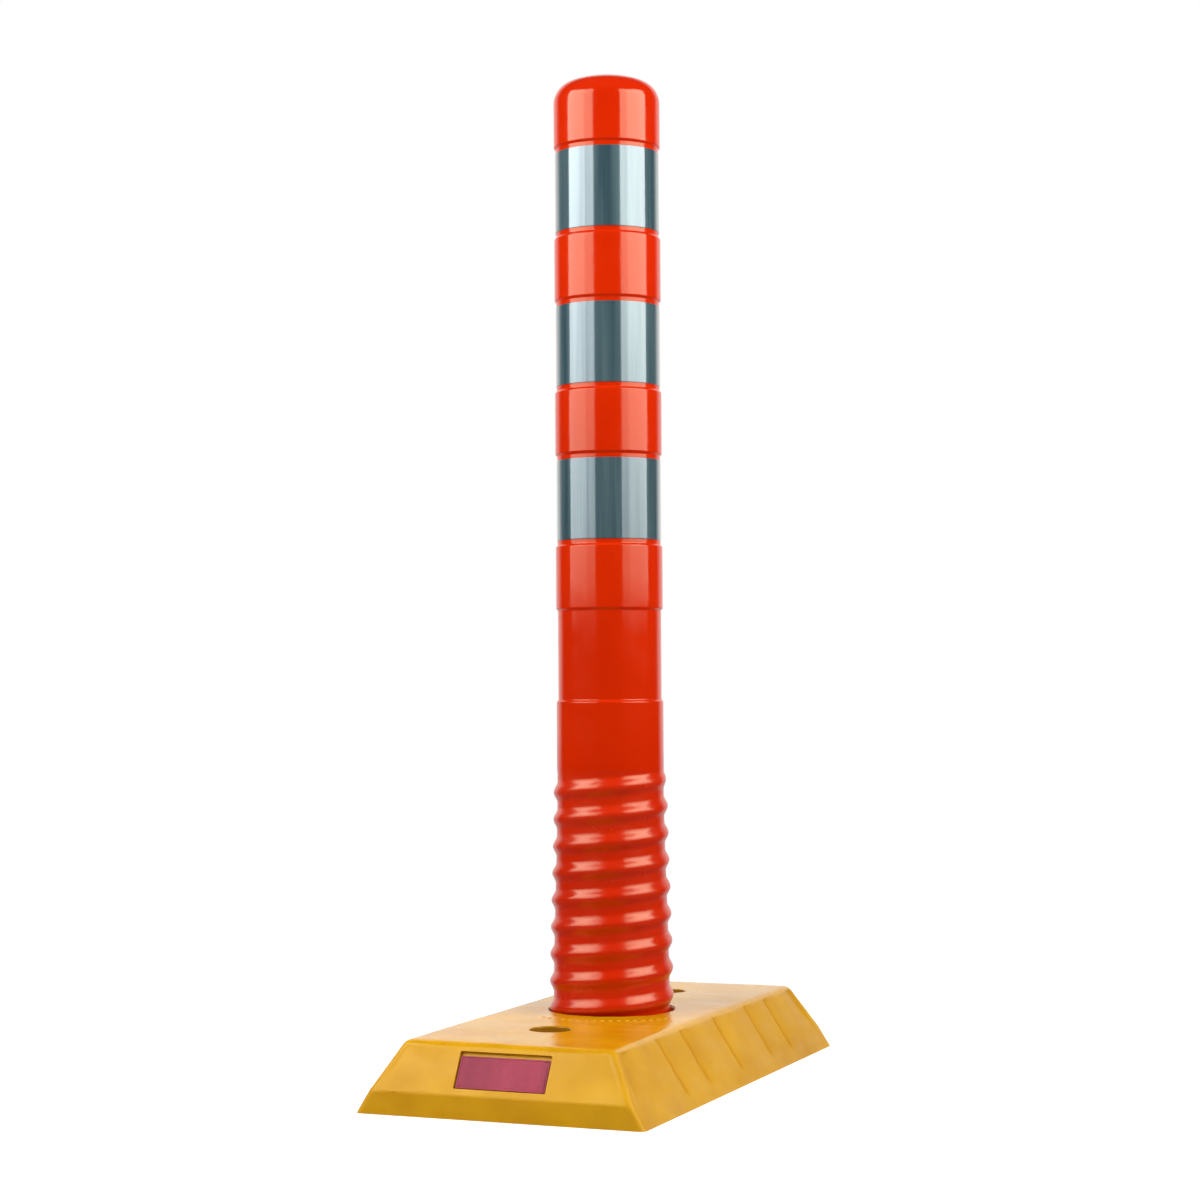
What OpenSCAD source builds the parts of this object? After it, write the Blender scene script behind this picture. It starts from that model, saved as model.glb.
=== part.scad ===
// Flexible delineator post on a low moulded base.
// A hollow orange post with a helically ridged, bending lower section stands in a round
// socket in a yellow base. Its foot flange sits in a recess under the base.
// Z is up, the post's axis is the Z axis and the base stands on Z = 0.
// The base's length and the traffic run along Y. All sizes are in millimetres.

/* [Base] */
// Length of the base at the ground, along the traffic
base_l = 416; // [400:1:520]
// Width of the base at the ground, across the traffic
base_w = 213; // [210:1:280]
// Height of the base
base_h = 49; // [42:1:62]
// How far the top edge lies in from the foot at each short end
end_in = 20; // [16:1:30]
// How far the top edge lies in from the foot at each long side
side_in = 28.5; // [20:0.5:30]
// Height of the steep skirt along the short ends
skirt_h = 16; // [8:1:18]
// How far the skirt leans in over its height
skirt_in = 1.5; // [1:0.5:4]
// Thickness of the moulded shell
shell = 8; // [6:0.5:10]
// Thickness of the ribs under the shell
rib_t = 6; // [4:0.5:8]
// Distance from the post's axis to the inner pair of cross ribs
rib_near = 70; // [66:1:84]
// Distance from the post's axis to the two lengthwise ribs beside the middle one
rib_side = 38; // [30:1:46]

/* [Anchor holes] */
// Distance between the two anchor holes
anchor_pitch = 232; // [190:1:280]
// Diameter of each anchor hole
anchor_d = 14; // [10:1:18]
// Diameter of the recess for the anchor's head
head_d = 29; // [24:1:34]
// Depth of the recess for the anchor's head
head_depth = 14; // [8:1:20]

/* [Post] */
// Height of the whole post above the ground
post_h = 750; // [620:1:1000]
// Outside diameter of the post
post_d = 80; // [66:1:96]
// Wall of the post
wall = 4; // [3:0.5:5]
// Radius that rounds the top edge
dome_r = 17; // [14:1:24]
// Radius of the shallow crown on top
crown_r = 80; // [70:5:200]

/* [Corrugated section] */
// Height that the ridge climbs in one turn
pitch = 20; // [16:1:24]
// Height of the ridge
ridge_h = 2.9; // [2:0.1:4]
// Width of the ridge, foot to foot
ridge_w = 16; // [10:0.5:16]
// How much the section widens in radius down to the base
flare = 3.7; // [0:0.1:4.5]

/* [Socket and foot] */
// Clearance between the widest ridge and the socket in the base
socket_gap = 0.7; // [0.5:0.1:1.5]
// How far the foot flange reaches out beyond the socket
flange_out = 10; // [6:1:12]
// Thickness of the foot flange
flange_h = 12; // [8:1:16]
// Clearance round the foot flange in its recess
flange_gap = 0.4; // [0.3:0.1:1]
// Height of the flange's underside above the ground
flange_lift = 1; // [0.5:0.5:3]

/* [Reflective bands] */
// Height of each retroreflective band
band_h = 60; // [40:1:70]
// Distance from one band recess to the next
band_pitch = 115.6; // [96:0.1:140]
// Height of the moulded recess that a band lies in
recess_h = 68; // [48:1:80]
// Depth of the recess
recess_d = 1.3; // [0.8:0.1:1.6]
// Distance from the post's top to the middle of the highest band
band_drop = 89.3; // [76:0.1:110]
// Thickness of the film
film_t = 0.5; // [0.3:0.1:0.8]

/* [End reflectors] */
// Width of each reflector tile
tile_w = 66; // [50:1:90]
// Height of the tile along the slope
tile_h = 23; // [18:1:25]
// Thickness of the tile
tile_t = 1.5; // [1:0.1:2]
// Depth of the pocket that holds the tile
pocket_d = 2.5; // [2.1:0.1:3.5]
// Gap between the tile and the pocket's side and lower edges
tile_gap = 1; // [0.5:0.1:2]
// Gap between the tile and the pocket's upper edge
tile_gap_top = 3; // [1:0.1:4]

/* [Hidden] */
$fn = 96;

post_r = post_d / 2;
bore_r = post_r - wall;
eps = 0.01;

// The bending section is cut into equal rings, each one and a half turns high.
ring_count = 6;
ring_h = 1.5 * pitch;
flex_z0 = base_h + 1;                      // where the first ring starts, just above the base
flex_z1 = flex_z0 + ring_count * ring_h;   // where the plain tube starts
ring_sides = 36;
ring_step = 2.5;

// The ridge: a right-handed helix whose crest passes +X at this height
crest_z0 = base_h - 8.7;
ridge_end = flex_z1 - 5;                   // the ridge runs out here at the top
ridge_fade = 6;
undercut = 0.4;                            // the section's valleys lie this far inside the tube

valley_low = post_r - undercut + flare;    // valley radius at the base
socket_r = valley_low + ridge_h + socket_gap;
flange_r = socket_r + flange_out;
flange_top = flange_lift + flange_h;
seat_r = flange_r + flange_gap;            // recess for the flange under the base
boss_r = seat_r + shell;

head_floor = base_h - head_depth;
anchor_boss_r = head_d / 2 + rib_t;

// The sloped face of a short end, from the skirt's top to the top edge
slope_a = atan2(base_h - skirt_h, end_in - skirt_in);
slope_l = (base_h - skirt_h) / sin(slope_a);
pocket_w = tile_w + 2 * tile_gap;
pocket_h = tile_h + tile_gap + tile_gap_top;
pocket_v = (slope_l - pocket_h) / 2 - 0.7;  // from the skirt's top up to the pocket's lower edge

yellow = [0.87, 0.62, 0.13];
orange = [0.87, 0.18, 0.02];
film = [0.75, 0.8, 0.82];
pink = [0.72, 0.25, 0.33];

function clamp01(t) = min(1, max(0, t));
function smooth(t) = let (s = clamp01(t)) s * s * (3 - 2 * s);

// The section's radius between the ridges: it widens softly from its top down to the base
function valley(z) = post_r + flare * smooth((flex_z1 - z) / (flex_z1 - base_h))
                     - undercut * (1 - smooth((z - ridge_end) / (flex_z1 - ridge_end)));
// Height above or below the nearest crest at angle a
function off_crest(a, z) = let (d = z - crest_z0 - pitch * a / 360) d - pitch * round(d / pitch);
function ridge_share(zc) = smooth((ridge_end - zc) / ridge_fade)
                           * smooth((zc - flange_top - ridge_fade) / ridge_fade);
function ridge(a, z) = let (u = off_crest(a, z))
    abs(u) >= ridge_w / 2 ? 0
    : ridge_h * ridge_share(z - u) * pow(cos(180 * u / ridge_w), 2);
function skin_r(a, z) = valley(z) + ridge(a, z);

// A stretch of the ridged tube from z0 to z1, as one closed mesh
module ridged_tube(z0, z1) {
    rows = ceil((z1 - z0) / ring_step);
    n = ring_sides;
    outer = [for (j = [0:rows], i = [0:n - 1])
        let (z = z0 + (z1 - z0) * j / rows, a = 360 * i / n, r = skin_r(a, z))
        [r * cos(a), r * sin(a), z]];
    inner = [for (z = [z0, z1], i = [0:n - 1])
        let (a = 360 * i / n) [bore_r * cos(a), bore_r * sin(a), z]];
    low = n * (rows + 1);
    high = low + n;
    // Two triangles between a ring that starts at point p and one that starts at point q
    function strip(p, q) = [for (i = [0:n - 1])
        let (k = (i + 1) % n) each [[p + i, q + i, q + k], [p + i, q + k, p + k]]];
    faces = concat(
        [for (j = [0:rows - 1]) each strip(n * j, n * (j + 1))],
        strip(n * rows, high),
        strip(high, low),
        strip(low, 0));
    polyhedron(points = concat(outer, inner), faces = faces, convexity = 6);
}

// A profile given in (x, z), made into a bar of that length along Y
module along_y(length) {
    rotate([90, 0, 0]) linear_extrude(length, center = true) children();
}

// A profile given in (y, z), made into a bar of that length along X
module along_x(length) {
    rotate([90, 0, 90]) linear_extrude(length, center = true) children();
}

// The base's outer form, set in from its skin by inset and lower by drop
module base_form(inset, drop) {
    top = base_h - drop;
    low = drop > 0 ? -1 : 0;
    half_w = base_w / 2 - inset;
    half_l = base_l / 2 - inset;
    w_top = half_w - side_in * top / base_h;
    l_top = half_l - skirt_in - (end_in - skirt_in) * (top - skirt_h) / (base_h - skirt_h);
    intersection() {
        along_y(base_l) polygon([[-half_w, low], [half_w, low], [w_top, top], [-w_top, top]]);
        along_x(base_w) polygon([[-half_l, low], [half_l, low], [half_l - skirt_in, skirt_h],
                                 [l_top, top], [-l_top, top], [-half_l + skirt_in, skirt_h]]);
    }
}

module ribs() {
    for (y = [-anchor_pitch / 2, -rib_near, 0, rib_near, anchor_pitch / 2])
        translate([0, y, base_h / 2]) cube([base_w, rib_t, base_h], center = true);
    for (x = [-rib_side, 0, rib_side])
        translate([x, 0, base_h / 2]) cube([rib_t, base_l, base_h], center = true);
    cylinder(r = boss_r, h = base_h);
    at_anchors() cylinder(r = anchor_boss_r, h = base_h);
}

module at_anchors() {
    for (s = [-1, 1]) translate([0, s * anchor_pitch / 2, 0]) children();
}

// Puts its child on the slope of the short end: x across, y up the slope, z outwards.
// Side -1 is the front end and 1 the rear.
module on_slope(side) {
    rotate([0, 0, side < 0 ? 0 : 180])
        translate([0, skirt_in - base_l / 2, skirt_h])
            rotate([slope_a, 0, 0]) children();
}

module pocket(side) {
    on_slope(side) translate([-pocket_w / 2, pocket_v, -pocket_d])
        cube([pocket_w, pocket_h, pocket_d + 5]);
}

module tile(side) {
    on_slope(side) translate([-tile_w / 2, pocket_v + tile_gap, -pocket_d])
        cube([tile_w, tile_h, tile_t]);
}

module base_block() {
    color(yellow) difference() {
        base_form(0, 0);
        difference() {
            base_form(shell, shell);
            ribs();
        }
        translate([0, 0, -1]) cylinder(r = socket_r, h = base_h + 2);
        translate([0, 0, -1]) cylinder(r = seat_r, h = flange_top + 1);
        at_anchors() translate([0, 0, -1]) cylinder(d = anchor_d, h = base_h + 2);
        at_anchors() translate([0, 0, head_floor]) cylinder(d = head_d, h = head_depth + 1);
        pocket(-1);
        pocket(1);
    }
}

module reflector_front() {
    color(pink) tile(-1);
}

module reflector_rear() {
    color(pink) tile(1);
}

module post_foot() {
    color(orange) {
        ridged_tube(flange_top - 1, flex_z0);
        difference() {
            translate([0, 0, flange_lift]) cylinder(r = flange_r, h = flange_h);
            cylinder(r = bore_r, h = base_h);
        }
    }
}

module flex_ring(k) {
    color(orange) ridged_tube(flex_z0 + (k - 1) * ring_h, flex_z0 + k * ring_h);
}

// Half outline of the rounded top, from the axis to the straight wall, for a tube of radius r.
// The crown and the rounded edge meet at a common tangent.
function dome(r, edge, crown, top) =
    let (turn = asin((r - edge) / (crown - edge)),
         mid = top - crown + (crown - edge) * cos(turn))
    concat([for (i = [0:4]) let (a = turn * i / 4) [crown * sin(a), top - crown + crown * cos(a)]],
           [for (i = [1:8]) let (a = turn + (90 - turn) * i / 8)
               [r - edge + edge * sin(a), mid + edge * cos(a)]]);

module post_tube() {
    color(orange) difference() {
        rotate_extrude()
            polygon(concat([[0, flex_z1]], dome(post_r, dome_r, crown_r, post_h),
                           [[post_r, flex_z1]]));
        rotate_extrude()
            polygon(concat([[0, flex_z1 - 1]],
                           dome(bore_r, dome_r - wall, crown_r - wall, post_h - wall),
                           [[bore_r, flex_z1 - 1]]));
        for (k = [0:3]) band_recess(k);
    }
}

function band_z(k) = post_h - band_drop - k * band_pitch;

// A shallow groove round the tube, with its upper and lower steps sloped
module band_recess(k) {
    translate([0, 0, band_z(k)]) rotate_extrude()
        polygon([[post_r - recess_d, -recess_h / 2 + recess_d],
                 [post_r + eps, -recess_h / 2 - eps], [post_r + 5, -recess_h / 2 - eps],
                 [post_r + 5, recess_h / 2 + eps], [post_r + eps, recess_h / 2 + eps],
                 [post_r - recess_d, recess_h / 2 - recess_d]]);
}

module band(k) {
    color(film) translate([0, 0, band_z(k) - band_h / 2]) difference() {
        cylinder(r = post_r - recess_d + film_t, h = band_h);
        translate([0, 0, -1]) cylinder(r = post_r - recess_d, h = band_h + 2);
    }
}

base_block();
reflector_front();
reflector_rear();
post_foot();
flex_ring(1);  // flex_ring_1
flex_ring(2);  // flex_ring_2
flex_ring(3);  // flex_ring_3
flex_ring(4);  // flex_ring_4
flex_ring(5);  // flex_ring_5
flex_ring(6);  // flex_ring_6
post_tube();
band(0);  // band_upper
band(1);  // band_middle
band(2);  // band_lower
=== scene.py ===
# %% [markdown]
# # A flexible delineator post
# This post stands between two lanes of traffic. One hollow orange moulding carries three silver
# reflective bands and ends in a ridged section, which bends over when a wheel hits it and springs
# back. It stands in a low yellow base that is anchored to the road, with a small red reflector in a
# pocket at each end.
# The sizes and the joints are settled already in a CAD model. This lesson loads that model as a fixed
# frame and makes the surfaces that are seen in its place, in metres, with +Z up.

# %% Load the frame
import math

import bmesh
import bpy
from mathutils import Matrix, Vector, noise


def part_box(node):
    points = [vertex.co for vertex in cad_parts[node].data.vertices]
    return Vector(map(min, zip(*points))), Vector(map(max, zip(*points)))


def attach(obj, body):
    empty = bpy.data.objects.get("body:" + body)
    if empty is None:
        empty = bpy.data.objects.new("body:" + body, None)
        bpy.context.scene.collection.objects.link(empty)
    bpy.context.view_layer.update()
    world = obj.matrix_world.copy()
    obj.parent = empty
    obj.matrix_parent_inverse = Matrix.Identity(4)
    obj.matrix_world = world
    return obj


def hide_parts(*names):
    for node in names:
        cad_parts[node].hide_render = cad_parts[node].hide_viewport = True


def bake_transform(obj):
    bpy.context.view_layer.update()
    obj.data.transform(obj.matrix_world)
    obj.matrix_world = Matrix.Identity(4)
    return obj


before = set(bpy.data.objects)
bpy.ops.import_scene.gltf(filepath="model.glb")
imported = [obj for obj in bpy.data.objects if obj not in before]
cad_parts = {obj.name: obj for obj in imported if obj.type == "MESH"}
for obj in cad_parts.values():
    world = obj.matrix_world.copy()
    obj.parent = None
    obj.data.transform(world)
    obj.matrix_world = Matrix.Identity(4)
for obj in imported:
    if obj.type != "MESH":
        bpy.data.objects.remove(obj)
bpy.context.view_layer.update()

# %% Sizes that the frame gives
MM = 0.001
base_low, base_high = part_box("base_block")
base_width = base_high.x - base_low.x
base_length = base_high.y - base_low.y
base_height = base_high.z
tube_low, tube_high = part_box("post_tube")
post_radius = tube_high.x
post_top = tube_high.z
flex_top = tube_low.z
flex_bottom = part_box("flex_ring_1")[0].z
flange_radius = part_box("post_foot")[1].x
flange_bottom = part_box("post_foot")[0].z
print("base", base_width, base_length, base_height, "post", post_radius, post_top)

# %% [markdown]
# ## Camera
# The view is from the front and a little to the right, almost level with the middle of the ridged
# section, from nearly two metres away. A long lens keeps the post's sides parallel.

# %% Camera
view_azimuth = math.radians(21.99)
camera_distance = 1.8894
camera_height = 0.29625
camera_pitch = math.radians(91.79)
camera_roll = math.radians(0.34)
camera_aside = math.radians(0.225)
camera_lens = 75.65
bpy.ops.object.select_all(action="DESELECT")
bpy.ops.object.camera_add(
    location=(math.sin(view_azimuth) * camera_distance, -math.cos(view_azimuth) * camera_distance,
              camera_height),
    rotation=(camera_pitch, camera_roll, view_azimuth + camera_aside))
camera = bpy.context.active_object
camera.name = "camera"
camera.data.lens = camera_lens
camera.data.sensor_width = 36
bpy.context.scene.camera = camera
print("camera at", camera.location[:])

# %% [markdown]
# ## Studio
# The light is that of a plain white studio: a white wall behind the object, a large softbox on each
# side of the camera, and a dim room elsewhere. Glossy plastic shows mostly what it mirrors, so the
# places of the softboxes matter more than their strength. Each softbox is two area lights side by
# side, the inner one dimmer, because a real one is brightest at its middle. A weak light overhead
# fills the ridges, and is kept out of reflections, so that the rounded top doesn't mirror it.

# %% World: white behind the object, dim round the camera
world = bpy.data.worlds.new("studio")
bpy.context.scene.world = world
world.use_nodes = True
tree = world.node_tree
away = Vector((-math.sin(view_azimuth), math.cos(view_azimuth), 0))


def world_node(kind, **settings):
    """Adds a node to the world and sets its properties."""
    node = tree.nodes.new(kind)
    for key, value in settings.items():
        setattr(node, key, value)
    return node


direction = world_node("ShaderNodeTexCoord")
behind = world_node("ShaderNodeVectorMath", operation="DOT_PRODUCT")
behind.inputs[1].default_value = away
tree.links.new(direction.outputs["Generated"], behind.inputs[0])
brightness = world_node("ShaderNodeMapRange", interpolation_type="SMOOTHSTEP")
brightness.inputs["From Min"].default_value = 0.55
brightness.inputs["From Max"].default_value = 0.80
brightness.inputs["To Min"].default_value = 0.03
brightness.inputs["To Max"].default_value = 1.0
tree.links.new(behind.outputs["Value"], brightness.inputs["Value"])
room = tree.nodes["Background"]
tree.links.new(brightness.outputs["Result"], room.inputs["Strength"])
room.inputs["Color"].default_value = (1.0, 0.97, 0.93, 1)
white = world_node("ShaderNodeBackground")
rays = world_node("ShaderNodeLightPath")
choose = world_node("ShaderNodeMixShader")
white.inputs["Color"].default_value = (1, 1, 1, 1)
tree.links.new(rays.outputs["Is Camera Ray"], choose.inputs[0])
tree.links.new(room.outputs[0], choose.inputs[1])
tree.links.new(white.outputs[0], choose.inputs[2])
tree.links.new(choose.outputs[0], tree.nodes["World Output"].inputs["Surface"])
bpy.context.scene.view_settings.view_transform = "Standard"
print("world", world.name)


# %% Softboxes
box_low = 0.395
box_high = 1.60
full_light_from = 1.04


def softbox(name, turn, width, radiance, colour, distance=1.25):
    """An area light facing the post, turned round it by so many degrees from the camera's side."""
    angle = view_azimuth + math.radians(turn)
    height = box_high - box_low
    bpy.ops.object.light_add(
        type="AREA",
        location=(math.sin(angle) * distance, -math.cos(angle) * distance, (box_low + box_high) / 2),
        rotation=(math.pi / 2, 0, angle))
    lamp = bpy.context.active_object
    lamp.name = name
    lamp.data.shape = "RECTANGLE"
    lamp.data.size = width
    lamp.data.size_y = height
    lamp.data.energy = radiance * math.pi * width * height
    lamp.data.color = colour
    lamp.visible_camera = False
    fade_downwards(lamp.data)
    print(name, round(lamp.data.energy), "W")
    return lamp


def fade_downwards(light):
    """A softbox is dimmer towards its lower edge."""
    light.use_nodes = True
    nodes = light.node_tree.nodes
    links = light.node_tree.links
    place = nodes.new("ShaderNodeNewGeometry")
    split = nodes.new("ShaderNodeSeparateXYZ")
    fade = nodes.new("ShaderNodeMapRange")
    fade.inputs["From Min"].default_value = box_low
    fade.inputs["From Max"].default_value = full_light_from
    fade.inputs["To Min"].default_value = 0.36
    fade.inputs["To Max"].default_value = 1.0
    links.new(place.outputs["Position"], split.inputs[0])
    links.new(split.outputs["Z"], fade.inputs["Value"])
    links.new(fade.outputs["Result"], nodes["Emission"].inputs["Strength"])


softbox("softbox_left_outer", -70, 1.00, 7.2, (1.0, 0.98, 0.96))
softbox("softbox_left_inner", -38.5, 0.40, 5.2, (1.0, 0.98, 0.96))
softbox("softbox_right_outer", 67.5, 1.10, 7.7, (1.0, 0.97, 0.92))
softbox("softbox_right_inner", 36, 0.33, 5.6, (1.0, 0.97, 0.92))

# %% A weak light overhead
ceiling_height = 2.4
ceiling_size = 2.6
ceiling_radiance = 0.8
bpy.ops.object.light_add(type="AREA", location=(0, 0, ceiling_height))
ceiling = bpy.context.active_object
ceiling.name = "ceiling_light"
ceiling.data.size = ceiling_size
ceiling.data.energy = ceiling_radiance * math.pi * ceiling_size ** 2
ceiling.visible_camera = False
ceiling.visible_glossy = False
print(ceiling.name, round(ceiling.data.energy), "W")

# %% Floor: bright, and lost in the white wall further away
bpy.ops.mesh.primitive_plane_add(size=16, location=(0, 0, 0))
floor = bpy.context.active_object
floor.name = "floor"
floor_paint = bpy.data.materials.new("floor_paint")
floor_paint.use_nodes = True
floor.data.materials.append(floor_paint)
tree = floor_paint.node_tree
paint = tree.nodes["Principled BSDF"]
paint.inputs["Base Color"].default_value = (0.35, 0.35, 0.35, 1)
paint.inputs["Roughness"].default_value = 0.9
paint.inputs["Specular IOR Level"].default_value = 0
paint.inputs["Emission Color"].default_value = (1, 1, 1, 1)
paint.inputs["Emission Strength"].default_value = 0.82
far_white = world_node("ShaderNodeEmission")
place = world_node("ShaderNodeTexCoord")
from_post = world_node("ShaderNodeVectorMath", operation="LENGTH")
far = world_node("ShaderNodeMapRange", interpolation_type="SMOOTHSTEP")
far.inputs["From Min"].default_value = 0.30
far.inputs["From Max"].default_value = 0.75
seen_floor = world_node("ShaderNodeMixShader")
tree.links.new(place.outputs["Object"], from_post.inputs[0])
tree.links.new(from_post.outputs["Value"], far.inputs["Value"])
tree.links.new(far.outputs["Result"], seen_floor.inputs[0])
tree.links.new(paint.outputs[0], seen_floor.inputs[1])
tree.links.new(far_white.outputs[0], seen_floor.inputs[2])
bounce = world_node("ShaderNodeBsdfDiffuse")
bounce.inputs["Color"].default_value = (0.40, 0.40, 0.40, 1)
dim = world_node("ShaderNodeBsdfDiffuse")
dim.inputs["Color"].default_value = (0.06, 0.06, 0.06, 1)
outwards = world_node("ShaderNodeVectorMath", operation="NORMALIZE")
behind_post = world_node("ShaderNodeVectorMath", operation="DOT_PRODUCT")
behind_post.inputs[1].default_value = away
sweep = world_node("ShaderNodeMapRange", interpolation_type="SMOOTHSTEP")
sweep.inputs["From Min"].default_value = 0.55
sweep.inputs["From Max"].default_value = 0.85
sweep.inputs["To Max"].default_value = 0.8
wall_light = world_node("ShaderNodeEmission")
floor_in_gloss = world_node("ShaderNodeMixShader")
tree.links.new(place.outputs["Object"], outwards.inputs[0])
tree.links.new(outwards.outputs[0], behind_post.inputs[0])
tree.links.new(behind_post.outputs["Value"], sweep.inputs["Value"])
tree.links.new(sweep.outputs["Result"], floor_in_gloss.inputs[0])
tree.links.new(dim.outputs[0], floor_in_gloss.inputs[1])
tree.links.new(wall_light.outputs[0], floor_in_gloss.inputs[2])
rays = world_node("ShaderNodeLightPath")
mirrored = world_node("ShaderNodeMixShader")
choose = world_node("ShaderNodeMixShader")
tree.links.new(rays.outputs["Is Glossy Ray"], mirrored.inputs[0])
tree.links.new(bounce.outputs[0], mirrored.inputs[1])
tree.links.new(floor_in_gloss.outputs[0], mirrored.inputs[2])
tree.links.new(rays.outputs["Is Camera Ray"], choose.inputs[0])
tree.links.new(mirrored.outputs[0], choose.inputs[1])
tree.links.new(seen_floor.outputs[0], choose.inputs[2])
tree.links.new(choose.outputs[0], tree.nodes["Material Output"].inputs["Surface"])
print("floor", floor.dimensions[:])


# %% [markdown]
# ## Tools for shaping
# The pieces are made as by hand: a primitive is added, opened in edit mode, and its faces and edges
# are picked by where they are and which way they face. These helpers name those steps.

# %% Helpers for objects and for picking
def new_piece(name):
    """Names the primitive that was just added and applies its place, so the object is at the origin."""
    piece = bpy.context.active_object
    bpy.ops.object.select_all(action="DESELECT")
    piece.select_set(True)
    bpy.ops.object.transform_apply(location=True, rotation=True, scale=True)
    piece.name = name
    piece.data.name = name
    return piece


def only(piece):
    """Makes this the one selected and active object."""
    bpy.ops.object.select_all(action="DESELECT")
    piece.select_set(True)
    bpy.context.view_layer.objects.active = piece


def edit(piece):
    """Opens the piece in edit mode with everything selected."""
    only(piece)
    bpy.ops.object.mode_set(mode="EDIT")
    bpy.ops.mesh.select_mode(type="VERT")
    bpy.ops.mesh.select_all(action="SELECT")


def pick(piece, kind, wanted):
    """In edit mode, selects just the vertices, edges or faces that the test wants, and counts them."""
    bpy.ops.mesh.select_mode(type=kind)
    bpy.ops.mesh.select_all(action="DESELECT")
    shape = bmesh.from_edit_mesh(piece.data)
    shape.normal_update()
    items = {"VERT": shape.verts, "EDGE": shape.edges, "FACE": shape.faces}[kind]
    chosen = [item for item in items if wanted(item)]
    for item in chosen:
        item.select_set(True)
    bmesh.update_edit_mesh(piece.data)
    return len(chosen)


def close(piece, smooth_below=35):
    """Merges doubles, turns the faces outwards, leaves edit mode and smooths the gentle edges."""
    bpy.ops.mesh.select_mode(type="VERT")
    bpy.ops.mesh.select_all(action="SELECT")
    bpy.ops.mesh.remove_doubles(threshold=1e-6)
    bpy.ops.mesh.normals_make_consistent(inside=False)
    bpy.ops.object.mode_set(mode="OBJECT")
    bpy.ops.object.shade_smooth_by_angle(angle=math.radians(smooth_below))
    print(piece.name, len(piece.data.polygons), "faces")


def middle(edge):
    """The middle of an edge."""
    return (edge.verts[0].co + edge.verts[1].co) / 2


def runs_along(edge, axis, share=0.9):
    """True if an edge runs mainly along axis 0, 1 or 2."""
    step = edge.verts[1].co - edge.verts[0].co
    return abs(step[axis]) > share * step.length


def apply_boolean(piece, tool, operation):
    """Cuts or joins the piece with a tool, and removes the tool."""
    only(piece)
    modifier = piece.modifiers.new(operation.lower(), "BOOLEAN")
    modifier.operation = operation
    modifier.solver = "EXACT"
    modifier.object = tool
    bpy.ops.object.modifier_apply(modifier=modifier.name)
    bpy.data.objects.remove(tool)


# %% A lathe
def lathe(name, outline, sides):
    """Extrudes one point along an outline of (radius, height) and spins the outline round the Z axis."""
    bpy.ops.object.select_all(action="DESELECT")
    bpy.ops.mesh.primitive_plane_add(size=MM)
    piece = new_piece(name)
    edit(piece)
    bpy.ops.mesh.merge(type="CENTER")
    here = Vector((0, 0, 0))
    for index, (radius, height) in enumerate(outline):
        step = Vector((radius, 0, height)) - here
        here = here + step
        if index == 0:
            bpy.ops.transform.translate(value=step)
        else:
            bpy.ops.mesh.extrude_vertices_move(TRANSFORM_OT_translate={"value": step})
    bpy.ops.mesh.select_all(action="SELECT")
    bpy.ops.mesh.spin(steps=sides, angle=2 * math.pi, center=(0, 0, 0), axis=(0, 0, 1))
    return piece


def arc(centre, radius, start, end, steps):
    """Points of (radius, height) on an arc, with angles in degrees from straight out, upwards."""
    turns = [math.radians(start + (end - start) * i / steps) for i in range(steps + 1)]
    return [(centre[0] + radius * math.cos(t), centre[1] + radius * math.sin(t)) for t in turns]


# %% [markdown]
# ## Post tube
# The upper post is one hollow moulding with a shallow crown, a rounded shoulder and four shallow
# grooves, three of which take a band. Anything round about one axis is easiest on a lathe: half its
# outline is drawn once and spun. The steps of the grooves are drawn as soft curves, because a moulded
# step has no sharp edge, and the soft edge is what catches the light as a thin line.

# %% Outline of the tube
wall = 4 * MM
shoulder_radius = 17 * MM
crown_radius = 80 * MM
band_names = ("band_upper", "band_middle", "band_lower")
band_middles = [(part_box(name)[0].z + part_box(name)[1].z) / 2 for name in band_names]
band_pitch = band_middles[0] - band_middles[1]
groove_middles = band_middles + [band_middles[2] - band_pitch]
groove_height = 68 * MM
groove_depth = 1.3 * MM
groove_step = 2.2 * MM
sides = 192


def dome(radius, shoulder, crown, top, steps=16):
    """The rounded top, from the straight side up to the axis: a shoulder arc, then a flatter crown arc."""
    turn = math.degrees(math.asin((radius - shoulder) / (crown - shoulder)))
    shoulder_height = top - crown + (crown - shoulder) * math.cos(math.radians(turn))
    points = arc((radius - shoulder, shoulder_height), shoulder, 0, 90 - turn, steps)
    crown_points = arc((0, top - crown), crown, 90 - turn, 90, steps)[1:]
    return points + crown_points[:-1] + [(0, top)]


def smooth(t):
    """0 to 1 with a soft start and end."""
    t = min(1, max(0, t))
    return t * t * (3 - 2 * t)


def soft_step(height, direction, steps=8):
    """A smooth change of radius from the tube to the groove (direction -1) or back (direction 1)."""
    points = []
    for t in [-0.8, -0.2] + [i / steps for i in range(steps + 1)] + [1.2, 1.8]:
        ease = smooth(t)
        depth = ease if direction < 0 else 1 - ease
        points.append((post_radius - groove_depth * depth, height + groove_step * (t - 0.5)))
    return points


tube_outline = [(post_radius, flex_top), (post_radius, flex_top + MM)]
for groove in reversed(groove_middles):
    tube_outline += soft_step(groove - groove_height / 2, -1)
    tube_outline += soft_step(groove + groove_height / 2, 1)
tube_outline += [(post_radius, post_top - 26 * MM)]
tube_outline += dome(post_radius, shoulder_radius, crown_radius, post_top)
inside = dome(post_radius - wall, shoulder_radius - wall, crown_radius - wall, post_top - wall, 5)
tube_outline += list(reversed(inside)) + [(post_radius - wall, flex_top), (post_radius, flex_top)]
print(len(tube_outline), "points from", flex_top, "to", post_top)

# %% Turn the tube
tube = lathe("post_tube_moulding", tube_outline, sides)
close(tube)
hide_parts("post_tube")
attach(tube, "post")

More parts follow.
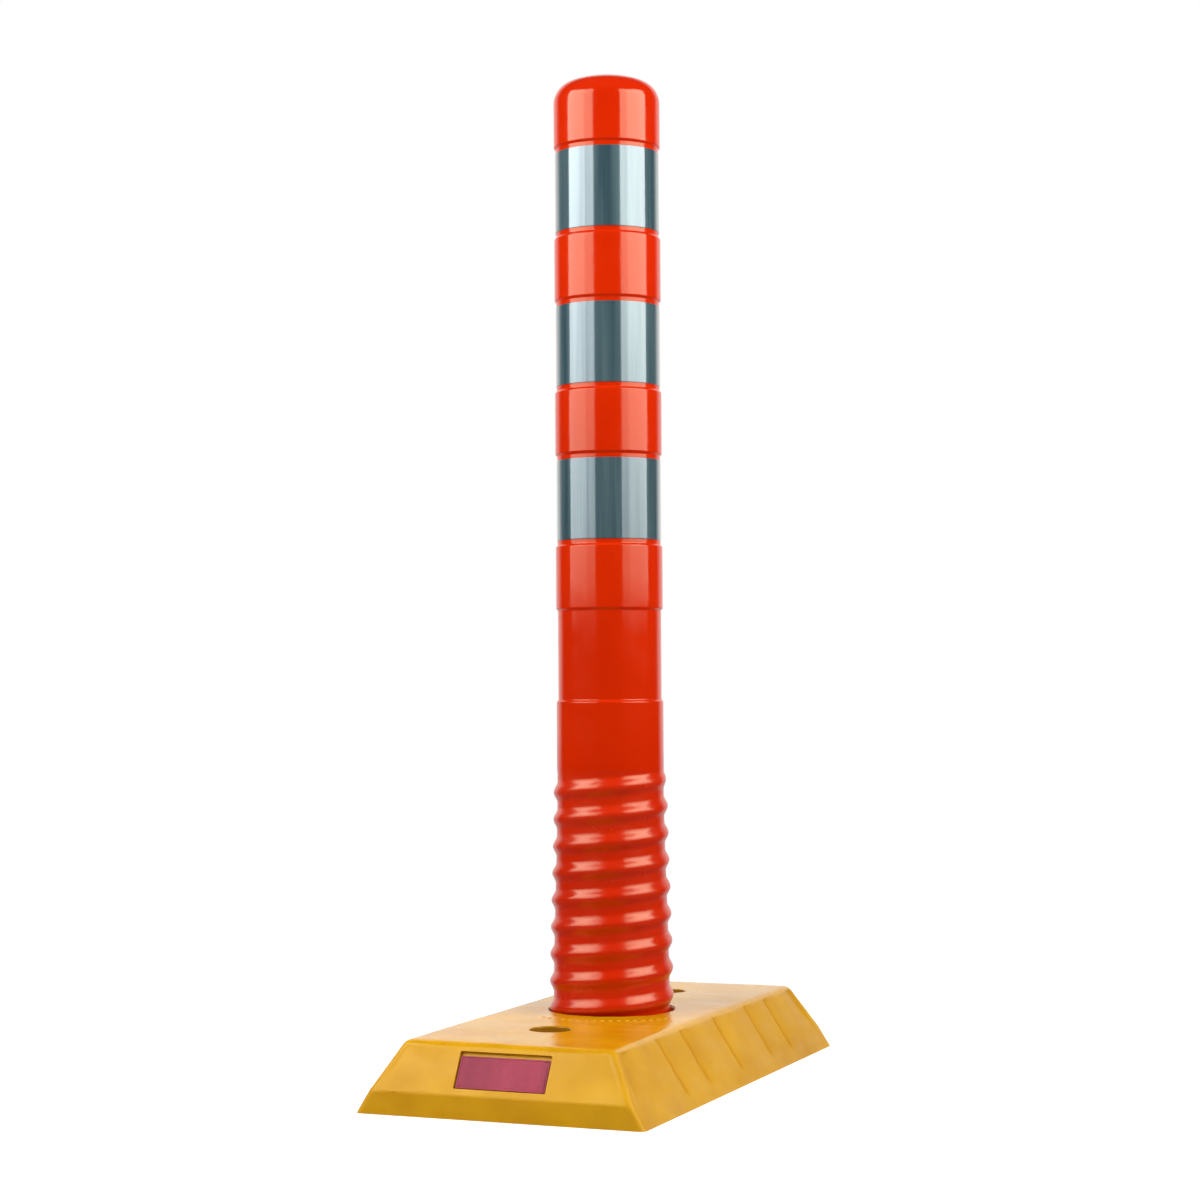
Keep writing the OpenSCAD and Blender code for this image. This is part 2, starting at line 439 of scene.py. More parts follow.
# %% [markdown]
# ## Ridged section
# A single rounded ridge winds round the bending section like the thread of a screw, nine times, and
# the section widens towards the base. It could be a profile swept along a helix, but the ridge fades
# out at the top and grows towards the bottom, so a plain tube is added instead, cut into fine rows,
# and each of its points is moved out to where the ridge's formula says.
# The section bends at six hinges, so it is made as six rings, one for each hinge. Rows are closest at
# a ring's ends, so that the shading runs on without a seam from one ring to the next.

# %% Shape of the ridge
ring_count = 6
ring_height = (flex_top - flex_bottom) / ring_count
ridge_pitch = ring_height / 1.5
ridge_height = 2.9 * MM
ridge_width = 16 * MM
ridge_fade = 6 * MM
crest_start = base_height - 8.7 * MM
ridge_end = flex_top - 5 * MM
flare = 3.7 * MM
undercut = 0.4 * MM
flange_top = flange_bottom + 12 * MM


def valley_radius(height):
    """Radius of the section between the ridges."""
    return (post_radius + flare * smooth((flex_top - height) / (flex_top - base_height))
            - undercut * (1 - smooth((height - ridge_end) / (flex_top - ridge_end))))


def skin_radius(angle, height):
    """Radius of the section with its ridge, at an angle in radians from +X."""
    above = height - crest_start - ridge_pitch * angle / (2 * math.pi)
    above -= ridge_pitch * round(above / ridge_pitch)
    if abs(above) >= ridge_width / 2:
        return valley_radius(height)
    crest = height - above
    fade_above = smooth((ridge_end - crest) / ridge_fade)
    fade_below = smooth((crest - flange_top - ridge_fade) / ridge_fade)
    bump = math.cos(math.pi * above / ridge_width) ** 2
    return valley_radius(height) + ridge_height * (fade_above * fade_below) * bump


print("pitch", round(ridge_pitch / MM, 2), "mm")
print("radius at the base", round(valley_radius(base_height) / MM, 2), "mm")


# %% Make a stretch of ridged tube
def ridged_tube(name, bottom, top, rows):
    """A closed, hollow stretch of the ridged section, from one height to another."""
    bore = post_radius - wall
    bpy.ops.object.select_all(action="DESELECT")
    bpy.ops.mesh.primitive_cylinder_add(
        vertices=sides, radius=post_radius, depth=top - bottom, end_fill_type="NOTHING",
        location=(0, 0, (bottom + top) / 2))
    piece = new_piece(name)
    edit(piece)
    pick(piece, "EDGE", lambda edge: middle(edge).z > top - MM / 10 and not runs_along(edge, 2))
    bpy.ops.mesh.extrude_region_move()
    bpy.ops.transform.resize(value=(bore / post_radius, bore / post_radius, 1), center_override=(0, 0, top))
    bpy.ops.mesh.extrude_region_move(TRANSFORM_OT_translate={"value": (0, 0, bottom - top)})
    pick(piece, "EDGE", lambda edge: middle(edge).z < bottom + MM / 10 and not runs_along(edge, 2))
    bpy.ops.mesh.bridge_edge_loops()
    pick(piece, "EDGE", lambda edge: runs_along(edge, 2) and middle(edge).to_2d().length > bore + MM)
    bpy.ops.mesh.subdivide(number_cuts=rows - 1)
    shape = bmesh.from_edit_mesh(piece.data)
    for point in shape.verts:
        if point.co.to_2d().length < bore + MM:
            continue
        share = (point.co.z - bottom) / (top - bottom)
        share -= 0.9 * math.sin(2 * math.pi * share) / (2 * math.pi)
        height = bottom + share * (top - bottom)
        angle = math.atan2(point.co.y, point.co.x)
        radius = skin_radius(angle, height)
        point.co = (radius * math.cos(angle), radius * math.sin(angle), height)
    bmesh.update_edit_mesh(piece.data)
    return piece


rings = []
for index in range(ring_count):
    ring_bottom = flex_bottom + index * ring_height
    ring_top = ring_bottom + ring_height
    ring = ridged_tube(f"ridged_ring_{index + 1}", ring_bottom, ring_top, 40)
    close(ring, 50)
    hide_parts(f"flex_ring_{index + 1}")
    rings.append(ring)

# %% [markdown]
# ## Foot
# Below the ridges the post goes down through the socket and ends in a wide flange, which the base
# traps against the road. The flange is turned on the lathe and joined to the last stretch of tube.

# %% Foot and flange
foot = ridged_tube("post_foot_moulding", flange_bottom + MM, flex_bottom, 56)
close(foot, 50)
flange_edge = 1.5 * MM
flange_outline = [(post_radius - 2 * MM, flange_bottom)]
flange_outline += arc((flange_radius - flange_edge, flange_bottom + flange_edge), flange_edge, -90, 0, 5)
flange_outline += arc((flange_radius - flange_edge, flange_top - flange_edge), flange_edge, 0, 90, 5)
flange_outline += [(post_radius - 2 * MM, flange_top), (post_radius - 2 * MM, flange_bottom)]
flange = lathe("flange", flange_outline, sides)
close(flange)
apply_boolean(foot, flange, "UNION")
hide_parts("post_foot")
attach(foot, "base")
print("foot", [round(size / MM, 1) for size in foot.dimensions])

# %% [markdown]
# ## Reflective bands
# Each band is a strip of silver film wrapped round its groove, with its end laid over its start at
# the back. It is turned as a thin ring with soft edges, and the overlap is the points of a short arc
# at the rear, moved out by the film's thickness.

# %% Bands
film_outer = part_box("band_upper")[1].x
film_inner = post_radius - groove_depth
overlap_half = math.radians(9)


def band(name, low, high):
    """One wrapped band of film."""
    edge = 0.2 * MM
    outline = [(film_inner, low), (film_outer - edge, low)]
    outline += arc((film_outer - edge, low + edge), edge, -90, 0, 3)[1:]
    outline += [(film_outer, low + 2 * edge), (film_outer, low + 4 * edge)]
    outline += [(film_outer, high - 4 * edge), (film_outer, high - 2 * edge)]
    outline += arc((film_outer - edge, high - edge), edge, 0, 90, 3)
    outline += [(film_inner, high), (film_inner, low)]
    piece = lathe(name, outline, sides)
    shape = bmesh.from_edit_mesh(piece.data)
    for point in shape.verts:
        from_rear = abs(math.atan2(point.co.x, point.co.y))
        if from_rear < overlap_half and point.co.to_2d().length > film_inner + edge:
            point.co.x *= 1 + 0.25 * MM / film_outer
            point.co.y *= 1 + 0.25 * MM / film_outer
    close(piece)
    return piece


bands = []
for name in band_names:
    low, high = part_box(name)
    film = band(name + "_film", low.z, high.z)
    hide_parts(name)
    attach(film, "post")
    bands.append(film)

# %% [markdown]
# ## Base
# The base is one thick moulding: a low block with sloping sides, a short steep skirt at each end,
# ribs and bosses inside, and openings for the post, the two anchors and the two reflectors. It starts
# as a cube at the base's size. A cut at the skirt's height and two smaller cross-sections above give
# the slopes, bevels round the edges, and a fine grid lets single areas be pressed in by formula.

# %% Block with sloping sides
skirt_height = 16 * MM
skirt_lean = 1.5 * MM
end_lean = 20 * MM
side_lean = 28.5 * MM
edge_bevel = 4 * MM

bpy.ops.object.select_all(action="DESELECT")
bpy.ops.mesh.primitive_cube_add(size=1, scale=(base_width, base_length, base_height),
                                location=(0, 0, base_height / 2))
base = new_piece("base_moulding")
edit(base)
bpy.ops.mesh.bisect(plane_co=(0, 0, skirt_height), plane_no=(0, 0, 1))


def shrink_level(piece, height, lean_x, lean_y):
    """Draws the cross-section at one height in from the foot by a lean on each side."""
    pick(piece, "VERT", lambda point: abs(point.co.z - height) < MM / 10)
    bpy.ops.transform.resize(
        value=(1 - 2 * lean_x / base_width, 1 - 2 * lean_y / base_length, 1),
        center_override=(0, 0, height))


shrink_level(base, base_height, side_lean, end_lean)
shrink_level(base, skirt_height, side_lean * skirt_height / base_height, skirt_lean)
count = pick(base, "EDGE", lambda edge: (
    middle(edge).z > base_height - MM / 10
    or (abs(edge.verts[0].co.z - edge.verts[1].co.z) > MM)))
bpy.ops.mesh.bevel(offset=edge_bevel, segments=5, profile=0.5, affect="EDGES", clamp_overlap=True)
print(count, "edges rounded")

# %% Fine grid on its faces
grid = 1.6 * MM


def cut_rows(piece, axis, shortest, step):
    """Subdivides the long edges along one axis into even rows."""
    lengths = []

    def wanted(edge):
        length = (edge.verts[1].co - edge.verts[0].co).length
        if length > shortest and runs_along(edge, axis, 0.6):
            lengths.append(length)
            return True
        return False

    pick(piece, "EDGE", wanted)
    bpy.ops.mesh.subdivide(number_cuts=round(max(lengths) / step) - 1)


cut_rows(base, 1, 100 * MM, grid)
cut_rows(base, 0, 80 * MM, grid)
cut_rows(base, 2, 20 * MM, grid)
cut_rows(base, 2, 10 * MM, grid)
bpy.ops.object.mode_set(mode="OBJECT")
print(len(base.data.vertices), "points")

# %% [markdown]
# ## The base's uneven faces
# A thick moulding shrinks as it cools. The top keeps a low crown, and each long side sinks along a
# slanting crease opposite every rib, and a little beside the bead along its corners. It could be
# sculpted, but the creases lie at known places, so each point of the grid is moved by a formula.

# %% Moulded unevenness
crease_places = [place * MM for place in (-116, -69, 0, 70, 116.5)]
crease_slant = 6 * MM
crown_rise = 1.8 * MM


def past_crease(place, crease):
    """How far a point of a long side lies beyond a crease, which slants towards the rear."""
    return place.y - crease - crease_slant * (1 - place.z / base_height)


def step_at(past):
    """A crease: the face rises a little, drops by a sharp step and comes back slowly behind it."""
    if past < -6 * MM:
        return 0
    drop = smooth((past + 2 * MM) / (4 * MM)) * math.exp(-max(0, past) / (16 * MM))
    ridge = math.exp(-((past + 3 * MM) / (2.5 * MM)) ** 2)
    return 1.1 * MM * drop - 0.25 * MM * ridge


def side_relief(place):
    """How deep a point of a long side lies under the plain slope."""
    depth = sum(step_at(past_crease(place, crease)) for crease in crease_places)
    depth *= smooth((place.z - 8 * MM) / (9 * MM))
    return depth + 1.8 * MM * beside_bead(place, 5 * MM, 14 * MM) * smooth((place.z - 10 * MM) / (24 * MM))


def beside_bead(place, bead, reach):
    """1 on a long side just beyond the bead along its corner, fading away from it."""
    from_corner = base_length / 2 - end_lean * place.z / base_height - abs(place.y) - bead
    return smooth(from_corner / (4 * MM)) * math.exp(-max(0, from_corner) / reach)


def end_relief(place):
    """How deep a point of a short end's slope lies under the plain slope."""
    up = place.z / base_height
    from_corner = base_width / 2 - side_lean * up - abs(place.x) - 3 * MM
    near_bead = smooth(from_corner / (3 * MM)) * math.exp(-max(0, from_corner) / (8 * MM))
    return 0.9 * MM * near_bead * smooth((place.z - 18 * MM) / (14 * MM))


def top_rise(place):
    """How far the top stands above the plain one: a low crown, soft waves and faint flow lines."""
    along = max(0, 1 - (place.y / (base_length / 2 - end_lean)) ** 2)
    across = max(0, 1 - (place.x / (base_width / 2 - side_lean)) ** 2)
    flow = 0.26 * waves((place.x * 0.3, place.y, 0), 14 * MM, 11) + 0.16 * waves(place, 9 * MM, 17)
    return crown_rise * along * across ** 0.5 + MM * flow * min(1, 3 * across)


def waves(place, size, seed):
    """Slow unevenness between -1 and 1."""
    return noise.noise(Vector(place) / size + Vector((seed, 0, 0)))


def slide_along_crease(place):
    """How far a side's point moves along, so that the rows of the grid run with the creases."""
    up = place.z / base_height
    if abs(place.x) < base_width / 2 - side_lean * up - edge_bevel / 2:
        return 0
    from_end = base_length / 2 - end_lean - 4 * MM - abs(place.y)
    return crease_slant * (1 - up) * smooth(from_end / (30 * MM))


normals = [vertex.normal.copy() for vertex in base.data.vertices]
for vertex, normal in zip(base.data.vertices, normals):
    vertex.co.y += slide_along_crease(vertex.co)
    place = vertex.co.copy()
    if place.z < MM / 10:
        continue
    rise = 0.25 * MM * waves(place, 50 * MM, 3) + 0.10 * MM * waves(place, 16 * MM, 7)
    rise *= smooth(place.z / (6 * MM))
    if abs(normal.x) > 0.75:
        rise -= side_relief(place)
    elif abs(normal.y) > 0.75 and place.z > skirt_height:
        rise -= end_relief(place)
    vertex.co = place + normal * rise
    if normal.z > 0.6:
        vertex.co.z += top_rise(place) * smooth((normal.z - 0.6) / 0.35)
    if abs(normal.y) > 0.5 and abs(place.z - skirt_height) < MM:
        vertex.co.z += 0.9 * MM * waves((place.x, 0, 0), 17 * MM, 5)
print("relief pressed into", base.name)

# %% [markdown]
# ## Inside and openings of the base
# The base is hollow underneath, with ribs across and along it and a boss round each opening. The
# hollow is made as one solid first, the ribs and bosses are cut out of it, and what is left is cut
# from the base. The openings are turned on the lathe, with a soft lip, and cut out after that.

# %% Cutters for the inside
shell = 8 * MM
rib = 6 * MM
rib_rows = (-116 * MM, -70 * MM, 0, 70 * MM, 116 * MM)
rib_columns = (-38 * MM, 0, 38 * MM)
anchor_distance = 232 * MM
socket_radius = 46.9 * MM
seat_radius = 57.3 * MM
boss_radius = seat_radius + shell
head_radius = 14.5 * MM
anchor_boss_radius = head_radius + rib


def box_piece(name, size, place):
    """A plain box used as a tool."""
    bpy.ops.object.select_all(action="DESELECT")
    bpy.ops.mesh.primitive_cube_add(size=1, scale=size, location=place)
    return new_piece(name)


def round_bar(name, radius, bottom, top, place=(0, 0)):
    """A plain upright cylinder used as a tool."""
    bpy.ops.object.select_all(action="DESELECT")
    bpy.ops.mesh.primitive_cylinder_add(vertices=96, radius=radius, depth=top - bottom,
                                        location=(place[0], place[1], (bottom + top) / 2))
    return new_piece(name)


hollow_top = base_height - shell
low_half_w = base_width / 2 - shell
low_half_l = base_length / 2 - shell
hollow = box_piece("hollow", (2 * low_half_w, 2 * low_half_l, hollow_top + MM),
                   (0, 0, (hollow_top - MM) / 2))
edit(hollow)
pick(hollow, "VERT", lambda point: point.co.z > 0)
top_half_w = low_half_w - side_lean * hollow_top / base_height
slope_share = (hollow_top - skirt_height) / (base_height - skirt_height)
top_half_l = low_half_l - skirt_lean - (end_lean - skirt_lean) * slope_share
bpy.ops.transform.resize(value=(top_half_w / low_half_w, top_half_l / low_half_l, 1),
                         center_override=(0, 0, hollow_top))
close(hollow)
for row in rib_rows:
    cross_rib = box_piece("rib", (base_width, rib, base_height), (0, row, base_height / 2))
    apply_boolean(hollow, cross_rib, "DIFFERENCE")
for column in rib_columns:
    long_rib = box_piece("rib", (rib, base_length, base_height), (column, 0, base_height / 2))
    apply_boolean(hollow, long_rib, "DIFFERENCE")
apply_boolean(hollow, round_bar("boss", boss_radius, -2 * MM, base_height), "DIFFERENCE")
for side in (-1, 1):
    boss = round_bar("boss", anchor_boss_radius, -2 * MM, base_height, (0, side * anchor_distance / 2))
    apply_boolean(hollow, boss, "DIFFERENCE")
apply_boolean(base, hollow, "DIFFERENCE")
print("underside hollowed:", len(base.data.polygons), "faces")

# %% Openings
lip = 0.7 * MM


def lipped_hole(name, steps, place):
    """A turned cutter: (radius, height) steps from the bottom up, flaring softly at the base's top."""
    radius = steps[-1][0]
    surface = base_height + crown_rise / 2
    outline = [(0, -2 * MM)] + steps
    outline += [(radius + lip - x, surface + z) for x, z in arc((0, -lip), lip, 0, 90, 5)]
    outline += [(radius + lip, base_height + 4 * MM), (0, base_height + 4 * MM)]
    cutter = lathe(name, outline, 96)
    close(cutter)
    cutter.location = (place[0], place[1], 0)
    return cutter


socket_steps = [(seat_radius, -2 * MM), (seat_radius, flange_top + MM), (socket_radius, flange_top + MM)]
apply_boolean(base, lipped_hole("socket", socket_steps, (0, 0)), "DIFFERENCE")
for side in (-1, 1):
    hole_steps = [(7 * MM, -2 * MM), (7 * MM, 35 * MM), (head_radius, 35 * MM)]
    apply_boolean(base, lipped_hole("anchor", hole_steps, (0, side * anchor_distance / 2)), "DIFFERENCE")
print("openings cut:", len(base.data.polygons), "faces")

# %% Pockets for the reflectors
slope_angle = math.atan2(base_height - skirt_height, end_lean - skirt_lean)
slope_length = (base_height - skirt_height) / math.sin(slope_angle)
tile_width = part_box("reflector_front")[1].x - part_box("reflector_front")[0].x
tile_height = 23 * MM
tile_thick = 1.5 * MM
pocket_depth = 2.5 * MM
pocket_size = (tile_width + 2 * MM, 27 * MM)
pocket_low = (slope_length - pocket_size[1]) / 2 - 0.7 * MM


def slope_frame(side):
    """The place of an end's slope: x across it, y up it, z outwards. Side -1 is the front end."""
    turn = Matrix.Rotation(0 if side < 0 else math.pi, 4, "Z")
    foot_line = Matrix.Translation((0, skirt_lean - base_length / 2, skirt_height))
    return turn @ foot_line @ Matrix.Rotation(slope_angle, 4, "X")


def put_on_slope(piece, side):
    """Moves a piece that was made flat at the origin onto an end's slope."""
    only(piece)
    piece.matrix_world = slope_frame(side)
    bpy.ops.object.transform_apply(location=True, rotation=True, scale=True)


for side in (-1, 1):
    pocket = box_piece("pocket", (pocket_size[0], pocket_size[1], pocket_depth + 6 * MM),
                       (0, pocket_low + pocket_size[1] / 2, 3 * MM - pocket_depth / 2))
    edit(pocket)
    pick(pocket, "EDGE", lambda edge: runs_along(edge, 2))
    bpy.ops.mesh.bevel(offset=1.2 * MM, segments=3, affect="EDGES")
    close(pocket)
    put_on_slope(pocket, side)
    apply_boolean(base, pocket, "DIFFERENCE")
print("pockets cut:", len(base.data.polygons), "faces")

# %% [markdown]
# ## Raised marks
# The mould leaves a few raised marks on the top in front of the post. They are plain pips: one is a
# short cylinder with a rounded top, and the others are copies of it, turned about the post's axis.

# %% Arc of pips beside the socket
pips_each_side = 8
pip_step = math.radians(5)
pip_ring = 69 * MM
pip_radius = 1.6 * MM
pip_depth = 2 * MM
pip_sunk = 1.25 * MM
pip_lift = 0.75 * MM
pip_arc_middle = math.radians(-74)
first_x = pip_ring * math.cos(pip_arc_middle)
first_y = pip_ring * math.sin(pip_arc_middle)
bpy.ops.object.select_all(action="DESELECT")
bpy.ops.mesh.primitive_cylinder_add(
    vertices=10, radius=pip_radius, depth=pip_depth,
    location=(first_x, first_y, base_height - pip_sunk))
pips = new_piece("pips")
edit(pips)
pick(pips, "FACE", lambda face: face.normal.z > 0.9)
bpy.ops.mesh.bevel(offset=0.45 * MM, segments=2, affect="EDGES")


def in_first_pip(face):
    """Whether a face belongs to the pip in the middle of the arc."""
    centre = face.calc_center_median()
    return math.hypot(centre.x - first_x, centre.y - first_y) < pip_radius + MM / 2


for index in range(1, pips_each_side + 1):
    for turn in (-index * pip_step, index * pip_step):
        pick(pips, "FACE", in_first_pip)
        bpy.ops.mesh.duplicate()
        bpy.ops.transform.rotate(value=turn, orient_axis="Z", center_override=(0, 0, 0))
close(pips)
for vertex in pips.data.vertices:
    vertex.co.z += top_rise(vertex.co) + pip_lift
only(base)
pips.select_set(True)
bpy.ops.object.join()
bpy.ops.object.shade_smooth_by_angle(angle=math.radians(35))
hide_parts("base_block")
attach(base, "base")
print(2 * pips_each_side + 1, "pips;", len(base.data.polygons), "faces in the base")

# %% [markdown]
# ## Painted shade in the creases
# Painted shade darkens the creases of the long sides and the strip beside the bead, where shade
# falls. It is written to the base's points as a number from 0 to 1, which the yellow material reads
# further on, and which also makes the surface there rougher.

# %% Painted shade in the creases and beside the bead
crease_shade = base.data.attributes.new("crease_shade", "FLOAT", "POINT")
for vertex, value in zip(base.data.vertices, crease_shade.data):
    place = vertex.co
    slope_x = base_width / 2 - side_lean * place.z / base_height
    shade_amount = 0
    if abs(place.x) > slope_x - 4 * MM and MM < place.z < base_height - 2 * MM:
        for crease in crease_places:
            past = past_crease(place, crease)
            shade_amount += 0.9 * math.exp(-((past - 1.2 * MM) / (2.4 * MM)) ** 2)
            shade_amount += 0.35 * smooth(past / MM) * math.exp(-max(0, past) / (12 * MM))
        shade_amount *= smooth((place.z - 7 * MM) / (8 * MM))
        shade_amount += 1.1 * beside_bead(place, 4 * MM, 4 * MM) * smooth((place.z - 8 * MM) / (20 * MM))
    value.value = min(1, shade_amount)
print("dirt marked on", len(crease_shade.data), "points")

# %% [markdown]
# ## End reflectors
# Each reflector is a thin moulded tile with a smooth rim and a field of tiny prisms behind a clear
# face. The field is a grid whose squares are poked into low pyramids.

# %% Reflector tiles
def reflector(name, side):
    """A rimmed tile with a field of prisms, on one end's slope."""
    tile = box_piece(name, (tile_width, tile_height, tile_thick),
                     (0, pocket_low + MM + tile_height / 2, tile_thick / 2 - pocket_depth))
    edit(tile)
    pick(tile, "EDGE", lambda edge: runs_along(edge, 2))
    bpy.ops.mesh.bevel(offset=1.0 * MM, segments=3, affect="EDGES")
    pick(tile, "FACE", lambda face: face.normal.z > 0.9)
    bpy.ops.mesh.inset(thickness=1.0 * MM, depth=0)
    bpy.ops.mesh.inset(thickness=0.2 * MM, depth=-0.15 * MM)
    close(tile)
    bpy.ops.object.select_all(action="DESELECT")
    bpy.ops.mesh.primitive_grid_add(
        x_subdivisions=42, y_subdivisions=14, size=1,
        location=(0, pocket_low + MM + tile_height / 2, tile_thick - pocket_depth - 0.14 * MM))
    field = bpy.context.active_object
    field.scale = (tile_width - 3 * MM, tile_height - 3 * MM, 1)
    new_piece("prisms")
    edit(field)
    bpy.ops.mesh.poke(offset=0.06 * MM)
    bpy.ops.object.mode_set(mode="OBJECT")
    only(tile)
    field.select_set(True)
    bpy.ops.object.join()
    put_on_slope(tile, side)
    return tile


tiles = []
for name, side in (("reflector_front", -1), ("reflector_rear", 1)):
    tile = reflector(name + "_tile", side)
    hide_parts(name)
    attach(tile, "base")
    tiles.append(tile)
    print(tile.name, len(tile.data.polygons), "faces")


# %% [markdown]
# ## Finishes
# All finishes are node materials on Object coordinates, so their patterns keep their scale on every
# piece. Each has a colour that wanders a little, a roughness that does the same, and fine relief.
# The orange is polished above the ridges and more satin on them. The yellow is shiniest on top, where
# it is worn smooth. Painted shade darkens it in the anchor holes, and in the creases and beside the
# bead, where it is also rougher. The film has faint upright streaks from its roll, and the tile has
# upright bars, as its prisms lie in rows.

# %% Helpers for materials
def new_material(name, roughness, metallic=0.0, ior=1.5):
    """A node material; its uniform numbers are set on the shader's own sockets."""
    material = bpy.data.materials.new(name)
    material.use_nodes = True
    shader = material.node_tree.nodes["Principled BSDF"]
    shader.inputs["Roughness"].default_value = roughness
    shader.inputs["Metallic"].default_value = metallic
    shader.inputs["IOR"].default_value = ior
    return material


def add(material, kind, **settings):
    """Adds a shader node and sets its properties."""
    node = material.node_tree.nodes.new(kind)
    for key, value in settings.items():
        setattr(node, key, value)
    return node


def link(material, output, target):
    """Joins an output to an input."""
    material.node_tree.links.new(output, target)


def noise_map(material, scale, detail=3.0, stretch=(1, 1, 1)):
    """A noise texture on Object coordinates, stretched by a Mapping node; gives its value output."""
    place = add(material, "ShaderNodeTexCoord")
    mapping = add(material, "ShaderNodeMapping")
    mapping.inputs["Scale"].default_value = stretch
    cloud = add(material, "ShaderNodeTexNoise")
    cloud.inputs["Scale"].default_value = scale
    cloud.inputs["Detail"].default_value = detail
    link(material, place.outputs["Object"], mapping.inputs["Vector"])
    link(material, mapping.outputs["Vector"], cloud.inputs["Vector"])
    return cloud.outputs["Fac"]


def blend_colours(material, factor, first, second, low=0.35, high=0.65):
    """A colour that goes from the first to the second as the factor goes from low to high."""
    ramp = add(material, "ShaderNodeValToRGB")
    ramp.color_ramp.elements[0].position = low
    ramp.color_ramp.elements[0].color = (*first, 1)
    ramp.color_ramp.elements[1].position = high
    ramp.color_ramp.elements[1].color = (*second, 1)
    link(material, factor, ramp.inputs["Fac"])
    return ramp.outputs["Color"]


def vary(material, factor, low, high):
    """A number that goes from low to high with the factor."""
    span = add(material, "ShaderNodeMapRange")
    span.inputs["From Min"].default_value = 0.3
    span.inputs["From Max"].default_value = 0.7
    span.inputs["To Min"].default_value = low
    span.inputs["To Max"].default_value = high
    link(material, factor, span.inputs["Value"])
    return span.outputs["Result"]


def relief(material, layers):
    """Chains bump nodes: each layer is a (height, strength, depth) on top of the one before."""
    before = None
    for height, strength, depth in layers:
        bump = add(material, "ShaderNodeBump")
        bump.inputs["Strength"].default_value = strength
        bump.inputs["Distance"].default_value = depth
        link(material, height, bump.inputs["Height"])
        if before:
            link(material, before, bump.inputs["Normal"])
        before = bump.outputs["Normal"]
    link(material, before, material.node_tree.nodes["Principled BSDF"].inputs["Normal"])


def finish(material, colour, roughness):
    """Joins a colour and a roughness to the shader."""
    shader = material.node_tree.nodes["Principled BSDF"]
    link(material, colour, shader.inputs["Base Color"])
    link(material, roughness, shader.inputs["Roughness"])


def height_share(material, low, high):
    """0 to 1 between two heights on the piece."""
    place = add(material, "ShaderNodeTexCoord")
    split = add(material, "ShaderNodeSeparateXYZ")
    span = add(material, "ShaderNodeMapRange", interpolation_type="SMOOTHSTEP")
    span.inputs["From Min"].default_value = low
    span.inputs["From Max"].default_value = high
    link(material, place.outputs["Object"], split.inputs[0])
    link(material, split.outputs["Z"], span.inputs["Value"])
    return span.outputs["Result"]


def times(material, first, second):
    """The product of two numbers."""
    node = add(material, "ShaderNodeMath", operation="MULTIPLY")
    link(material, first, node.inputs[0])
    link(material, second, node.inputs[1])
    return node.outputs[0]


def mix(material, factor, first, second):
    """A colour between the first, which is linked, and the second, which is a plain colour."""
    node = add(material, "ShaderNodeMix", data_type="RGBA")
    node.inputs["B"].default_value = (*second, 1)
    link(material, factor, node.inputs["Factor"])
    link(material, first, node.inputs["A"])
    return node.outputs["Result"]


# %% Glossy orange polymer
orange = new_material("orange_polymer", 0.14)
orange_cloud = noise_map(orange, 9, 4)
orange_colour = blend_colours(orange, orange_cloud, (0.505, 0.0150, 0.0001), (0.565, 0.0200, 0.0002))
orange_shader = orange.node_tree.nodes["Principled BSDF"]
orange_shader.inputs["Specular Tint"].default_value = (1, 0.96, 0.68, 1)
satin = add(orange, "ShaderNodeMapRange", interpolation_type="SMOOTHSTEP")
satin.inputs["To Min"].default_value = 1.8
satin.inputs["To Max"].default_value = 1.0
link(orange, height_share(orange, flex_top - 12 * MM, flex_top + 4 * MM), satin.inputs["Value"])
gloss = vary(orange, noise_map(orange, 60, 5), 0.09, 0.16)
finish(orange, orange_colour, times(orange, gloss, satin.outputs["Result"]))
relief(orange, [(noise_map(orange, 28, 2), 0.5, 0.00025), (noise_map(orange, 1400, 2), 0.15, 0.00002)])
for piece in [tube, foot] + rings:
    piece.data.materials.clear()
    piece.data.materials.append(orange)
print(orange.name, "on", len(rings) + 2, "pieces")

# %% Moulded yellow polymer
def near_anchor(material, inner, outer):
    """1 inside a radius round either anchor's axis, fading to 0 at a larger one."""
    place = add(material, "ShaderNodeTexCoord")
    both_sides = add(material, "ShaderNodeVectorMath", operation="ABSOLUTE")
    offset = add(material, "ShaderNodeVectorMath", operation="SUBTRACT")
    offset.inputs[1].default_value = (0, anchor_distance / 2, 0)
    flat = add(material, "ShaderNodeVectorMath", operation="MULTIPLY")
    flat.inputs[1].default_value = (1, 1, 0)
    reach = add(material, "ShaderNodeVectorMath", operation="LENGTH")
    span = add(material, "ShaderNodeMapRange")
    span.inputs["From Min"].default_value = outer
    span.inputs["From Max"].default_value = inner
    link(material, place.outputs["Object"], both_sides.inputs[0])
    link(material, both_sides.outputs[0], offset.inputs[0])
    link(material, offset.outputs[0], flat.inputs[0])
    link(material, flat.outputs[0], reach.inputs[0])
    link(material, reach.outputs["Value"], span.inputs["Value"])
    return span.outputs["Result"]


